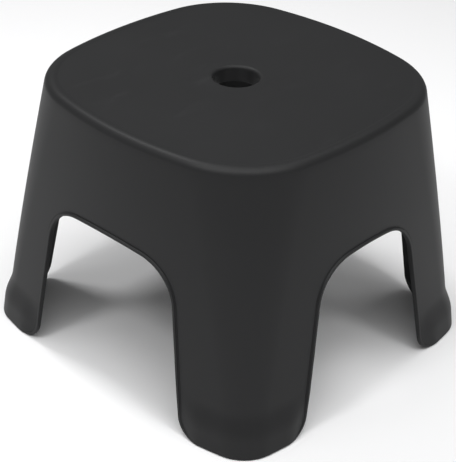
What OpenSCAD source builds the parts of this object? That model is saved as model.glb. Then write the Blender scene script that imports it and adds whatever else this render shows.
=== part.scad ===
/* [Seat] */
// Width of the seat along X, over the widest point of its bowed sides
seat_w = 271; // [240:1:300]
// Depth of the seat along Y, over the widest point of its bowed sides
seat_d = 269; // [240:1:300]
// Corner radius of the seat in plan
seat_corner_r = 81; // [50:1:90]
// Radius of the rounded edge between the seat and the walls
seat_edge_r = 6; // [3:0.5:8]
// Thickness of the seat plate
seat_t = 3; // [2.5:0.5:5]

/* [Walls] */
// Overall height, from the floor to the seat
height = 230; // [200:1:260]
// How far each wall across X leans out between the seat and the floor
lean_x = 22; // [10:1:35]
// How far each wall across Y leans out between the seat and the floor
lean_y = 17; // [10:1:35]
// Corner radius of the walls in plan at the floor
base_corner_r = 29.5; // [25:0.5:60]
// How early the corners tighten on the way down: 1 is evenly, more is sooner
corner_ease = 1.35; // [1:0.05:1.6]
// Half of the angle that a bowed side across X turns through
bow_x = 8.9; // [4:0.1:12]
// Half of the angle that a bowed side across Y turns through
bow_y = 12.2; // [4:0.1:13]
// Thickness of the walls
wall_t = 3; // [2.5:0.5:4]

/* [Arches] */
// Height above the floor of the crown of the arches in the walls across Y
arch_h_x = 142.5; // [110:0.5:160]
// Height above the floor of the crown of the arches in the walls across X
arch_h_y = 139.5; // [110:0.5:160]
// Half width at the floor of the arches in the two walls across Y
arch_half_x = 85.5; // [70:0.5:95]
// Half width at the floor of the arches in the two walls across X
arch_half_y = 75; // [60:1:85]
// Slope of the sides of the arches in the walls across Y, per millimetre of height
arch_slope_x = 0.145; // [0.05:0.005:0.16]
// Slope of the sides of the arches in the walls across X, per millimetre of height
arch_slope_y = 0.175; // [0.05:0.005:0.18]
// Radius of the two upper corners of an arch
arch_corner_r = 37.5; // [30:0.5:46]
// Rise of the crown over the half width of the arch
arch_crown = 6; // [3:0.5:10]
// Width of the raised lip that follows the edge of an arch
lip_w = 2; // [1.5:0.5:4]
// How far the lip stands out from the wall
lip_out = 1.2; // [0.8:0.2:2]

/* [Feet] */
// Height at which the wall starts to step out into the foot
foot_top = 38.5; // [30:0.5:45]
// Height over which the step blends
foot_blend = 23; // [10:1:24]
// How far the foot stands out from the wall, at the corner
foot_out = 4; // [1:0.5:6]
// Distance from the free edges of a leg over which the foot fades in
foot_fade = 21; // [12:1:24]
// Height of the thick rim at the bottom of a foot
foot_rim_h = 12; // [8:1:14]
// Thickness of that rim
foot_rim_t = 10; // [9:0.5:12]
// Radius of the lower corners of a leg
leg_corner_r = 17.5; // [10:0.5:18]

/* [Centre hole] */
// Radius of the clear hole through the seat
hole_r = 18.5; // [15:0.5:22]
// Radius of the rounded mouth of the hole
mouth_r = 3; // [2:0.5:4]
// Thickness of the collar round the hole
collar_t = 2.5; // [2:0.5:4]
// Depth of the collar below the seat
collar_depth = 14; // [10:1:20]

/* [Ribs] */
// Depth of the ribs below the seat plate
rib_h = 9; // [6:1:14]
// Thickness of a rib
rib_t = 2; // [1.5:0.5:3]
// How far the inner ring rib lies inside the edge of the seat
ring_inset = 72; // [65:1:80]
// Distance from one ring rib to the next
ring_pitch = 36; // [30:1:40]

/* [Foot pads] */
// Width of a non-slip pad
pad_w = 5; // [4:0.5:6]
// Depth of the groove that holds the pad
groove_h = 2.5; // [2:0.5:3]
// How far the pad stands out below the foot
pad_proud = 0.8; // [0.8:0.1:1.5]
// Radius of the studs that hold the pad
stud_r = 2; // [1.5:0.1:2]
// Length of a stud above the pad
stud_h = 5; // [4:0.5:6]
// Clearance between a pad and its groove, and between a stud and its socket
pad_gap = 0.15; // [0.1:0.05:0.3]

/* [Hidden] */
shell_colour = "#35373a";
pad_colour = "#1f2022";

// Points on a quarter of the plan outline: sides and corner
side_steps = 5;
corner_steps = 9;
fillet_steps = 5;
blend_steps = 6;
arc_steps = 10;

half_w = seat_w / 2;
half_d = seat_d / 2;
shell_bottom = pad_proud;
ceiling = height - seat_t;
inner_edge_r = 4;
reach = 400;
overlap = 0.4;

// Normal directions of the outline's points in the first quarter, from 0 up to, but without, 90
side_x_angles = [for (i = [0:side_steps - 1]) bow_x * i / side_steps];
corner_angles = [for (i = [0:corner_steps - 1]) bow_x + (90 - bow_x - bow_y) * i / corner_steps];
side_y_angles = [for (i = [0:side_steps - 1]) 90 - bow_y + bow_y * i / side_steps];
quarter_angles = concat(side_x_angles, corner_angles, side_y_angles);

// The plan outline at height z is four bowed sides joined by four corner arcs, all tangent
function drop(z) = (height - z) / height;
function half_x(z) = half_w + lean_x * drop(z);
function half_y(z) = half_d + lean_y * drop(z);
function corner_r(z) = base_corner_r + (seat_corner_r - base_corner_r) * pow(1 - drop(z), corner_ease);
function bow_pair() = 1 - tan(bow_x / 2) * tan(bow_y / 2);
function corner_x(z) = (half_x(z) - corner_r(z) - tan(bow_x / 2) * (half_y(z) - corner_r(z))) / bow_pair();
function corner_y(z) = (half_y(z) - corner_r(z) - tan(bow_y / 2) * (half_x(z) - corner_r(z))) / bow_pair();
function side_x_r(z) = corner_r(z) + corner_y(z) / sin(bow_x);
function side_y_r(z) = corner_r(z) + corner_x(z) / sin(bow_y);
function side_x_back(z) = corner_y(z) / tan(bow_x) - corner_x(z);
function side_y_back(z) = corner_x(z) / tan(bow_y) - corner_y(z);

// The arc that a normal direction belongs to: its centre and its radius
function arc_at(t, z) =
    t < bow_x ? [-side_x_back(z), 0, side_x_r(z)]
    : t <= 90 - bow_y ? [corner_x(z), corner_y(z), corner_r(z)]
    : [0, -side_y_back(z), side_y_r(z)];
function along(arc, t, grow) = [arc[0] + (arc[2] + grow) * cos(t), arc[1] + (arc[2] + grow) * sin(t)];
function plan_point(t, z, grow) = along(arc_at(t, z), t, grow);

// How far the foot stands out at height z: nothing above the blend, all of it below
function step_out(z) =
    z >= foot_top ? 0
    : z <= foot_top - foot_blend ? foot_out
    : foot_out * (1 - cos(180 * (foot_top - z) / foot_blend)) / 2;
blend_heights = [for (i = [0:blend_steps]) foot_top - foot_blend * i / blend_steps];

// The foot fades in from the free edges of its leg: 0 at an edge and 1 once foot_fade inside it
function ease(share) = let (s = min(1, max(0, share))) s * s * (3 - 2 * s);
function from_edges(p, z) =
    min(p[0] - arch_half_x + arch_slope_x * z, p[1] - arch_half_y + arch_slope_y * z);
function foot_share(t, z) = ease(from_edges(plan_point(t, z, 0), z) / foot_fade);

// A point of the shell: grow is its distance out from the wall's face, and rim is the extra
// thickness that a foot has there
function shell_point(t, z, grow, rim) = plan_point(t, z, grow + (step_out(z) - rim) * foot_share(t, z));

// The whole outline, one quarter after another, turning from +X to +Y
function plan(z, grow, rim = 0) =
    let (
        there = [for (t = quarter_angles) shell_point(t, z, grow, rim)],
        top = shell_point(90, z, grow, rim),
        back = [for (i = [len(there) - 1:-1:1]) there[i]],
        start = there[0]
    )
    concat(
        there,
        [top],
        [for (p = back) [-p[0], p[1]]],
        [[-start[0], 0]],
        [for (i = [1:len(there) - 1]) [-there[i][0], -there[i][1]]],
        [[0, -top[1]]],
        [for (p = back) [p[0], -p[1]]]
    );
ring_size = 4 * len(quarter_angles);

// A closed solid through a stack of outlines, each given as [height, growth, extra rim]
function stack_points(stack) = [for (s = stack) for (p = plan(s[0], s[1], s[2])) [p[0], p[1], s[0]]];
module loft(stack) {
    last = len(stack) - 1;
    sides = [
        for (k = [0:last - 1], i = [0:ring_size - 1])
            let (j = (i + 1) % ring_size)
            [k * ring_size + i, k * ring_size + j, (k + 1) * ring_size + j, (k + 1) * ring_size + i]
    ];
    first_cap = [for (i = [ring_size - 1:-1:0]) i];
    last_cap = [for (i = [0:ring_size - 1]) last * ring_size + i];
    polyhedron(stack_points(stack), concat([first_cap], sides, [last_cap]), convexity = 8);
}

// The outer face from the seat down to the foot, and the inner face back up
edge_stack = [
    for (i = [0:fillet_steps])
        let (t = 90 * i / fillet_steps)
        [height - seat_edge_r * (1 - cos(t)), -seat_edge_r * (1 - sin(t)), 0]
];
foot_stack = [for (z = blend_heights) [z, 0, 0]];
rim_extra = foot_rim_t - wall_t;
rim_stack = [
    [shell_bottom, 0, 0],
    [shell_bottom, -wall_t, rim_extra],
    [foot_rim_h, -wall_t, rim_extra],
    [foot_rim_h + 3, -wall_t, 0]
];
inner_foot_stack = [
    for (i = [blend_steps:-1:0])
        if (blend_heights[i] > foot_rim_h + 4) [blend_heights[i], -wall_t, 0]
];
ceiling_stack = [
    [ceiling - inner_edge_r, -wall_t, 0],
    [ceiling - inner_edge_r * 0.3, -wall_t - inner_edge_r * 0.3, 0],
    [ceiling, -wall_t - inner_edge_r, 0]
];
shell_stack = concat(edge_stack, foot_stack, rim_stack, inner_foot_stack, ceiling_stack);

// An arch in a wall: straight leaning sides, two round upper corners and a gently arched crown.
// Its lower ends turn outwards round the corners of the legs. grow moves the whole edge outwards.
// Each arch is given as [half width at the floor, slope of its sides, height of its crown].
arch_x = [arch_half_x, arch_slope_x, arch_h_x];
arch_y = [arch_half_y, arch_slope_y, arch_h_y];
function arc_points(c, r, from, to, steps) =
    [for (i = [0:steps]) let (t = from + (to - from) * i / steps) c + r * [cos(t), sin(t)]];
function arch_arcs(arch) =
    let (
        lean = atan(arch[1]),
        half_top = arch[0] - arch[1] * arch[2],
        crown_r = (half_top * half_top + arch_crown * arch_crown) / (2 * arch_crown),
        crown_c = [0, arch[2] - crown_r],
        up = [-sin(lean), cos(lean)],
        foot = [arch[0], 0] - arch_corner_r * [cos(lean), sin(lean)] - crown_c,
        rise = sqrt(pow(foot * up, 2) - foot * foot + pow(crown_r - arch_corner_r, 2)) - foot * up,
        upper_c = crown_c + foot + rise * up,
        turn = atan2(upper_c[1] - crown_c[1], upper_c[0] - crown_c[0]),
        leg_z = shell_bottom + leg_corner_r,
        leg_c = [arch[0] - arch[1] * leg_z + leg_corner_r / cos(lean), leg_z]
    )
    [[leg_c, leg_corner_r, 270, 180 + lean], [upper_c, arch_corner_r, lean, turn], [crown_c, crown_r, turn, 90]];
function arch_edge(arch, grow) =
    let (
        arcs = arch_arcs(arch),
        leg = arcs[0],
        upper = arcs[1],
        crown = arcs[2]
    )
    concat(
        [[leg[0][0], -1]],
        arc_points(leg[0], leg[1] - grow, leg[2], leg[3], arc_steps),
        arc_points(upper[0], upper[1] + grow, upper[2], upper[3], arc_steps),
        arc_points(crown[0], crown[1] + grow, crown[2], crown[3], arc_steps)
    );
module arch_outline(arch, grow) {
    right = arch_edge(arch, grow);
    left = [for (i = [len(right) - 2:-1:0]) [-right[i][0], right[i][1]]];
    polygon(concat(right, left));
}
module through_y() {
    rotate([90, 0, 0]) linear_extrude(height = reach, center = true, convexity = 4) children();
}
module through_x() {
    rotate([90, 0, 90]) linear_extrude(height = reach, center = true, convexity = 4) children();
}

// The raised lip: a slightly thicker wall, kept only in a narrow band along the arches
module lip_band(arch) {
    difference() {
        arch_outline(arch, lip_w);
        arch_outline(arch, 0);
    }
}
module lip_wall() {
    top = max(arch_h_x, arch_h_y) + lip_w + 4;
    outside = concat(
        [[top, lip_out, 0]],
        [for (z = blend_heights) [z, lip_out, 0]],
        [[shell_bottom, lip_out, 0]]
    );
    inside = [[shell_bottom, -wall_t / 2, 0], [foot_top, -wall_t / 2, 0], [top, -wall_t / 2, 0]];
    tube = concat(outside, inside);
    intersection() {
        loft_tube(tube);
        union() {
            through_y() lip_band(arch_x);
            through_x() lip_band(arch_y);
        }
    }
}
// As loft(), but the last outline joins the first, so the solid is a closed band
module loft_tube(stack) {
    count = len(stack);
    polyhedron(stack_points(stack), [
        for (k = [0:count - 1], i = [0:ring_size - 1])
            let (j = (i + 1) % ring_size, n = (k + 1) % count)
            [k * ring_size + i, k * ring_size + j, n * ring_size + j, n * ring_size + i]
    ], convexity = 8);
}

// Centre hole: a collar below the seat and a rounded mouth
module collar() {
    translate([0, 0, height - collar_depth])
        cylinder(h = collar_depth - seat_t + overlap, r = hole_r + collar_t, $fn = 96);
}
module hole() {
    translate([0, 0, height - collar_depth - 1]) cylinder(h = collar_depth + 2, r = hole_r, $fn = 96);
    rotate_extrude($fn = 96) difference() {
        translate([hole_r - 1, height - mouth_r]) square([mouth_r + 1, mouth_r + 1]);
        translate([hole_r + mouth_r, height - mouth_r]) circle(r = mouth_r, $fn = 48);
    }
}

// Ribs under the seat: spokes from the collar to the walls, and two rings between them
module spoke(angle, end_top, end_low) {
    low = ceiling - rib_h;
    rotate([0, 0, angle]) translate([0, rib_t / 2, 0]) rotate([90, 0, 0]) linear_extrude(height = rib_t)
        polygon([
            [hole_r + 1, low],
            [end_low, low],
            [end_top, ceiling + overlap],
            [hole_r + 1, ceiling + overlap]
        ]);
}
function spoke_end(t, z) = norm(plan_point(t, z, -wall_t / 2));
module ribs() {
    low = ceiling - rib_h;
    diagonal = plan_point(45, low, 0);
    turn = atan2(diagonal[1], diagonal[0]);
    for (side = [0, 180]) {
        spoke(side, spoke_end(0, ceiling), spoke_end(0, low));
        spoke(side + 90, spoke_end(90, ceiling), spoke_end(90, low));
        spoke(side + turn, spoke_end(45, ceiling), spoke_end(45, low));
        spoke(side - turn, spoke_end(45, ceiling), spoke_end(45, low));
    }
    for (inset = [ring_inset, ring_inset - ring_pitch])
        translate([0, 0, low]) linear_extrude(height = rib_h + overlap) difference() {
            polygon(plan(ceiling, -inset));
            polygon(plan(ceiling, -inset - rib_t));
        }
}

// The pad's path: the middle of the foot rim, round one corner of the stool
pad_grow = foot_out - foot_rim_t / 2;
pad_clear = leg_corner_r + pad_w / 2 + 1;
pad_from = asin((arch_half_y + pad_clear) / (side_x_r(0) + pad_grow));
pad_to = 90 - asin((arch_half_x + pad_clear) / (side_y_r(0) + pad_grow));
pad_angles = concat([pad_from], corner_angles, [90 - bow_y, pad_to]);
stud_angles = [pad_from, 45, pad_to];
function pad_end(t, turn, w) = arc_points(plan_point(t, 0, pad_grow), w / 2, t + turn, t + turn + 180, 4);
function pad_side(grow) = [for (t = pad_angles) plan_point(t, 0, pad_grow + grow)];
module pad_strip(w, h) {
    outer = pad_side(w / 2);
    inner = pad_side(-w / 2);
    back = [for (i = [len(inner) - 1:-1:0]) inner[i]];
    outline = concat(outer, pad_end(pad_to, 0, w), back, pad_end(pad_from, 180, w));
    linear_extrude(height = h) polygon(outline);
}
module studs(r, h) {
    for (t = stud_angles) {
        p = plan_point(t, 0, pad_grow);
        translate([p[0], p[1], 0]) cylinder(h = h, r = r, $fn = 32);
    }
}
module pad_groove() {
    translate([0, 0, -1]) pad_strip(pad_w + 2 * pad_gap, shell_bottom + groove_h + 1);
    studs(stud_r + pad_gap, pad_proud + groove_h + stud_h + pad_gap);
}
module foot_pad() {
    color(pad_colour) {
        pad_strip(pad_w, pad_proud + groove_h);
        studs(stud_r, pad_proud + groove_h + stud_h);
    }
}

module stool_shell() {
    color(shell_colour) difference() {
        union() {
            difference() {
                loft(shell_stack);
                through_y() arch_outline(arch_x, 0);
                through_x() arch_outline(arch_y, 0);
            }
            lip_wall();
            collar();
            ribs();
        }
        hole();
        for (x = [0, 1], y = [0, 1]) mirror([x, 0, 0]) mirror([0, y, 0]) pad_groove();
    }
}
module foot_pad_front_left() { mirror([1, 0, 0]) mirror([0, 1, 0]) foot_pad(); }
module foot_pad_front_right() { mirror([0, 1, 0]) foot_pad(); }
module foot_pad_rear_left() { mirror([1, 0, 0]) foot_pad(); }
module foot_pad_rear_right() { foot_pad(); }

stool_shell();
foot_pad_front_left();
foot_pad_front_right();
foot_pad_rear_left();
foot_pad_rear_right();
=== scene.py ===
"""Step stool: a one-piece moulded shell on rubber foot pads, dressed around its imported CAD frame."""

import logging
import math
from dataclasses import dataclass, field, replace
from enum import Enum
from typing import Any, Callable, Iterable, Sequence

import bpy
import numpy as np
from mathutils import Matrix, Vector
from mathutils.geometry import delaunay_2d_cdt


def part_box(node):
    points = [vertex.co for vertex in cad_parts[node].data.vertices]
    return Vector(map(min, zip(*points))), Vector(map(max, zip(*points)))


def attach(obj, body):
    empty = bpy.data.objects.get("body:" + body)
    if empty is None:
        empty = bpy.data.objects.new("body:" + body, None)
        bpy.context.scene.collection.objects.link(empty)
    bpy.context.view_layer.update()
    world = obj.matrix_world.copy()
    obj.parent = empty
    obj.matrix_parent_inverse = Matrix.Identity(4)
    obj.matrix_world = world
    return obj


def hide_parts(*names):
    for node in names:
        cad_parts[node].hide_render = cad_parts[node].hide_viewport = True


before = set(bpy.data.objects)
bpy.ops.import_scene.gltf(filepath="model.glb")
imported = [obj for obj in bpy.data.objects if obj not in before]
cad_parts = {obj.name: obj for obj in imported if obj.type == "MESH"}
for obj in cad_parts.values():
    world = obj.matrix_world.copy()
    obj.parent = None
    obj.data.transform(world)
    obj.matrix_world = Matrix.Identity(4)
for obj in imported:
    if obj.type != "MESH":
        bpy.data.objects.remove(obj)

LOG = logging.getLogger("step_stool")
MM = 0.001
QUARTER_TURN = math.pi / 2
MERGE_STEPS_PER_MM = 2000

Point2 = tuple[float, float]
Point3 = tuple[float, float, float]
Heights = Callable[[float], float]
Skin = Callable[[float, float], float]


class Wall(Enum):
    """Which pair of walls something belongs to, by the axis that it faces along."""

    FACING_X = "x"
    FACING_Y = "y"


class Corner(Enum):
    """A corner of the stool, as the signs of its X and Y."""

    FRONT_LEFT = (-1, -1)
    FRONT_RIGHT = (1, -1)
    REAR_LEFT = (-1, 1)
    REAR_RIGHT = (1, 1)


def smooth(share: float) -> float:
    """Ease a share of the way from 0 to 1, held at 0 before and at 1 after."""
    held = min(1.0, max(0.0, share))
    return held * held * (3 - 2 * held)


def mix(low: float, high: float, share: float) -> float:
    """Return the value a share of the way from low to high."""
    return low + (high - low) * share


def spaced(low: float, high: float, step: float) -> list[float]:
    """List evenly spaced values from low to high, both included, at about the given step."""
    count = max(1, round(abs(high - low) / step))
    return [mix(low, high, i / count) for i in range(count + 1)]


# ---------------------------------------------------------------------------------------------
# Shape rules, in millimetres
# ---------------------------------------------------------------------------------------------


@dataclass(frozen=True)
class StoolPlan:
    """The plan outline at any height: four bowed sides and four corner arcs, all tangent.

    A place on it is named by the direction in which the outline faces, from 0 at +X to a
    quarter turn at +Y. Only that quarter is worked out, because the others mirror it.
    """

    height: float
    half_w: float = 135.5
    half_d: float = 134.5
    lean_x: float = 22.0
    lean_y: float = 17.0
    seat_corner_r: float = 81.0
    base_corner_r: float = 29.5
    corner_ease: float = 1.35
    bow_x: float = math.radians(8.9)
    bow_y: float = math.radians(12.2)

    def corner(self, z: float) -> Point3:
        """Return the corner arc's centre X and Y, and its radius, at height z."""
        drop = (self.height - z) / self.height
        radius = mix(self.base_corner_r, self.seat_corner_r, (1 - drop) ** self.corner_ease)
        reach_x = self.half_w + self.lean_x * drop - radius
        reach_y = self.half_d + self.lean_y * drop - radius
        tan_x, tan_y = math.tan(self.bow_x / 2), math.tan(self.bow_y / 2)
        shared = 1 - tan_x * tan_y
        return (reach_x - tan_x * reach_y) / shared, (reach_y - tan_y * reach_x) / shared, radius

    def point(self, turn: float, z: float, grow: float) -> Point2:
        """Return the outline's point facing along turn at height z, moved outwards by grow."""
        centre_x, centre_y, radius = self.corner(z)
        if turn < self.bow_x:
            radius += centre_y / math.sin(self.bow_x)
            centre_x -= centre_y / math.tan(self.bow_x)
            centre_y = 0.0
        elif turn > QUARTER_TURN - self.bow_y:
            radius += centre_x / math.sin(self.bow_y)
            centre_y -= centre_x / math.tan(self.bow_y)
            centre_x = 0.0
        reach = radius + grow
        return centre_x + reach * math.cos(turn), centre_y + reach * math.sin(turn)

    def turn_at(self, wall: Wall, along: float, z: float) -> float:
        """Return the direction faced at a distance along a wall from its middle."""
        centre_x, centre_y, radius = self.corner(z)
        if wall is Wall.FACING_X:
            side_r = radius + centre_y / math.sin(self.bow_x)
            if along <= side_r * math.sin(self.bow_x):
                return math.asin(along / side_r)
            return math.asin((along - centre_y) / radius)
        side_r = radius + centre_x / math.sin(self.bow_y)
        if along <= side_r * math.sin(self.bow_y):
            return QUARTER_TURN - math.asin(along / side_r)
        return math.acos((along - centre_x) / radius)


@dataclass(frozen=True)
class EdgeSpot:
    """A spot on the lower edge of a wall, with the way into the material."""

    z: float
    into_z: float
    wall: Wall | None = None
    along: float = 0.0
    into_along: float = 0.0
    turn: float = 0.0
    lip: float = 1.0
    groove: float = 0.0


RowShape = Callable[[EdgeSpot, float, float], Point2]


@dataclass(frozen=True)
class Arch:
    """An arch in a wall: leaning sides, round upper corners, a gentle crown and leg corners."""

    wall: Wall
    half_at_floor: float
    slope: float
    height: float
    bottom: float
    corner_r: float = 37.5
    crown: float = 6.0
    leg_r: float = 17.5
    lip_low: float = 14.0
    lip_high: float = 38.0
    lip_sunk: float = 0.5
    lip_rise: float = 1.6
    step: float = 3.2

    def side_at(self, z: float) -> float:
        """Return the distance of the straight side from the arch's middle at a height."""
        return self.half_at_floor - self.slope * z

    def arcs(self) -> tuple[tuple[Point2, float, float, float], ...]:
        """Return the leg, upper corner and crown arcs as centre, radius, first and last angle."""
        lean = math.atan(self.slope)
        half_top = self.half_at_floor - self.slope * self.height
        crown_r = (half_top**2 + self.crown**2) / (2 * self.crown)
        crown_z = self.height - crown_r
        up = (-math.sin(lean), math.cos(lean))
        start_x = self.half_at_floor - self.corner_r * math.cos(lean)
        start_z = -self.corner_r * math.sin(lean) - crown_z
        along_up = start_x * up[0] + start_z * up[1]
        apart = crown_r - self.corner_r
        rise = math.sqrt(along_up**2 - start_x**2 - start_z**2 + apart**2) - along_up
        upper = (start_x + rise * up[0], crown_z + start_z + rise * up[1])
        turn = math.atan2(upper[1] - crown_z, upper[0])
        leg_z = self.bottom + self.leg_r
        leg = (self.half_at_floor - self.slope * leg_z + self.leg_r / math.cos(lean), leg_z)
        return (
            (leg, self.leg_r, 1.5 * math.pi, math.pi + lean),
            (upper, self.corner_r, lean, turn),
            ((0.0, crown_z), crown_r, turn, QUARTER_TURN),
        )

    def spots(self) -> list[EdgeSpot]:
        """List the edge's spots from the end of the leg corner's arc up to the crown."""
        leg, upper, crown = self.arcs()
        spots: list[EdgeSpot] = []
        for (centre, radius, first, last), inwards in ((leg, -1), (upper, 1), (crown, 1)):
            steps = max(4, round(abs(last - first) * radius / self.step))
            angles = [mix(first, last, i / steps) for i in range(steps + 1)]
            if spots:
                spots += self._straight(spots[-1], centre, radius, angles[0])
                angles = angles[1:] if radius == crown[1] else angles
            for angle in angles:
                z = centre[1] + radius * math.sin(angle)
                share = (first - angle) / (first - last) if inwards < 0 else 1.0
                spots.append(
                    EdgeSpot(
                        z=z,
                        into_z=inwards * math.sin(angle),
                        wall=self.wall,
                        along=centre[0] + radius * math.cos(angle),
                        into_along=inwards * math.cos(angle),
                        lip=self._lip_at(z) * smooth(share * self.lip_rise),
                    )
                )
        return spots

    def _lip_at(self, z: float) -> float:
        """Return how much of the lip there is at a height: it sinks into the foot."""
        return mix(self.lip_sunk, 1.0, smooth((z - self.lip_low) / (self.lip_high - self.lip_low)))

    def _straight(self, last: EdgeSpot, centre: Point2, radius: float, angle: float) -> list[EdgeSpot]:
        """List the spots strictly between the last one and the start of the next arc."""
        end = (centre[0] + radius * math.cos(angle), centre[1] + radius * math.sin(angle))
        length = math.hypot(end[0] - last.along, end[1] - last.z)
        if length < self.step:
            return []
        steps = round(length / self.step)
        spots = []
        for i in range(1, steps):
            z = mix(last.z, end[1], i / steps)
            along = mix(last.along, end[0], i / steps)
            spots.append(replace(last, z=z, along=along, lip=self._lip_at(z)))
        return spots


@dataclass(frozen=True)
class Foot:
    """How the wall thickens and steps out into a foot, fading in from the leg's free edges."""

    plan: StoolPlan
    arches: tuple[Arch, Arch]
    bottom: float
    top: float = 38.5
    blend: float = 23.0
    out: float = 4.0
    fade: float = 21.0
    rim_h: float = 12.0
    rim_t: float = 10.0
    rim_slope_h: float = 3.0
    wall_t: float = 3.0

    def share(self, turn: float, z: float) -> float:
        """Return how much of the foot there is: 0 at the leg's free edges, 1 well inside them."""
        x, y = self.plan.point(turn, z, 0.0)
        arch_x, arch_y = self.arches
        return smooth(min(x - arch_y.side_at(z), y - arch_x.side_at(z)) / self.fade)

    def outside(self, turn: float, z: float) -> float:
        """Return how far the outer face stands out from the plan outline."""
        if z >= self.top:
            return 0.0
        step = self.out * (1 - math.cos(math.pi * min(1.0, (self.top - z) / self.blend))) / 2
        return step * self.share(turn, z)

    def inside(self, turn: float, z: float) -> float:
        """Return where the inner face lies, from the plan outline, outwards positive."""
        rim = (self.rim_t - self.wall_t) * (1 - smooth((z - self.rim_h) / self.rim_slope_h))
        thicker = rim * self.share(turn, z) if rim > 0 else 0.0
        return self.outside(turn, z) - self.wall_t - thicker


@dataclass(frozen=True)
class EdgeProfile:
    """The cross-section of a wall's lower edge: raised lip, rounded corners and pad groove."""

    reach: float = 6.5
    lip_out: float = 1.2
    lip_from: float = 2.6
    lip_full: float = 2.0
    relief_deep: float = 0.3
    relief_from: float = 3.7
    relief_soft: float = 0.3
    relief_shift: float = 0.2
    outer_round: float = 0.6
    inner_round: float = 0.7
    groove_deep: float = 2.5
    groove_from: float = 0.18
    groove_to: float = 0.80
    outer_rows: tuple[float, ...] = (
        *(6.5, 5.0, 4.1, 3.7, 3.4, 3.1, 2.85, 2.65, 2.55, 2.45, 2.35, 2.25, 2.15, 2.05, 1.95),
        *(1.4, 0.8, 0.6, 0.42, 0.26, 0.12, 0.03, 0),
    )
    inner_rows: tuple[float, ...] = (0, 0.06, 0.25, 0.7, 2.0, 4.2, 6.5)

    def row_shapes(self) -> list[RowShape]:
        """List the rows from the outer face round the edge to the inner face.

        Returns:
            For each row, a function of the spot and of where the outer and inner faces lie,
            which gives the row's distance from the edge and its place across the wall.
        """
        rows = [self._outer(reach) for reach in self.outer_rows]
        groove = ((self.groove_from, 0), (self.groove_from, 1), (self.groove_to, 1), (self.groove_to, 0))
        rows += [self._across(share, deep * self.groove_deep) for share, deep in groove]
        rows += [self._inner(reach) for reach in self.inner_rows]
        return rows

    def _rounding(self, reach: float, radius: float) -> float:
        """Return how far a rounded corner falls away at a distance from the edge."""
        return radius - math.sqrt(max(0.0, radius**2 - max(0.0, radius - reach) ** 2))

    def _outer(self, reach: float) -> RowShape:
        """Make a row on the outer face."""
        raised = self.lip_out * smooth((self.lip_from - reach) / (self.lip_from - self.lip_full))
        raised -= self._relief(reach)
        fall = self._rounding(reach, self.outer_round)
        return lambda spot, outer, inner: (reach, outer + raised * spot.lip - fall)

    def _relief(self, reach: float) -> float:
        """Return how deep the shallow channel beside the lip is at a distance from the edge."""
        middle = (self.lip_from + self.relief_from) / 2
        half = (self.relief_from - self.lip_from) / 2 + self.relief_soft
        return self.relief_deep * smooth(1 - abs(reach - middle + self.relief_shift) / half)

    def _across(self, share: float, deep: float) -> RowShape:
        """Make a row on the face of the edge, sunk where the pad's groove runs."""

        def place(spot: EdgeSpot, outer: float, inner: float) -> Point2:
            """Return the row's distance from the edge and its place across the wall."""
            across = mix(outer - self.outer_round, inner + self.inner_round, share)
            return deep * spot.groove, across

        return place

    def _inner(self, reach: float) -> RowShape:
        """Make a row on the inner face."""
        fall = self._rounding(reach, self.inner_round)
        return lambda spot, outer, inner: (reach, inner + fall)


# ---------------------------------------------------------------------------------------------
# Meshes
# ---------------------------------------------------------------------------------------------


class QuarterSheet:
    """Vertices and faces of the quarter of a shape where X and Y are positive."""

    def __init__(self) -> None:
        """Start with nothing in it."""
        self.points: list[Point3] = []
        self.faces: list[tuple[int, ...]] = []

    def row(self, points: Iterable[Point3]) -> list[int]:
        """Add a row of vertices and return their numbers."""
        first = len(self.points)
        self.points.extend(points)
        return list(range(first, len(self.points)))

    def strip(self, right_of: Sequence[int], left_of: Sequence[int]) -> None:
        """Join two rows by quads; seen from outside, the second row lies to the left."""
        for i in range(len(right_of) - 1):
            self.faces.append((right_of[i], right_of[i + 1], left_of[i + 1], left_of[i]))

    def mirrored_mesh(self, name: str) -> bpy.types.Mesh:
        """Mirror the quarter to all four, merge the seams and return one closed mesh."""
        points: list[Point3] = []
        faces: list[tuple[int, ...]] = []
        for corner in Corner:
            sign_x, sign_y = corner.value
            first = len(points)
            points += [(x * sign_x, y * sign_y, z) for x, y, z in self.points]
            turned = sign_x * sign_y < 0
            for face in self.faces:
                numbers = [first + n for n in face]
                faces.append(tuple(reversed(numbers)) if turned else tuple(numbers))
        return merged_mesh(name, points, faces)


def merged_mesh(name: str, points: Sequence[Point3], faces: Sequence[tuple[int, ...]]) -> bpy.types.Mesh:
    """Make a smooth mesh in metres from points in millimetres, merging those that coincide.

    Args:
        name: The mesh's name.
        points: Vertices in millimetres.
        faces: Vertex numbers of each face, seen from outside.

    Returns:
        The mesh, without the faces that merging flattened.
    """
    keys: dict[tuple[int, int, int], int] = {}
    kept: list[Point3] = []
    number: list[int] = []
    for point in points:
        key = tuple(round(v * MERGE_STEPS_PER_MM) for v in point)
        if key not in keys:
            keys[key] = len(kept)
            kept.append(point)
        number.append(keys[key])
    clean: list[list[int]] = []
    for face in faces:
        ring = [number[n] for n in face]
        ring = [n for i, n in enumerate(ring) if n != ring[i - 1]]
        if len(set(ring)) == len(ring) and len(ring) >= 3:
            clean.append(ring)
    mesh = bpy.data.meshes.new(name)
    mesh.from_pydata([tuple(v * MM for v in p) for p in kept], [], clean)
    mesh.update()
    mesh.shade_smooth()
    return mesh


def piece_from(mesh: bpy.types.Mesh) -> bpy.types.Object:
    """Put a mesh in the scene as a piece of its own, at the origin."""
    piece = bpy.data.objects.new(mesh.name, mesh)
    bpy.context.scene.collection.objects.link(piece)
    return piece


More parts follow.
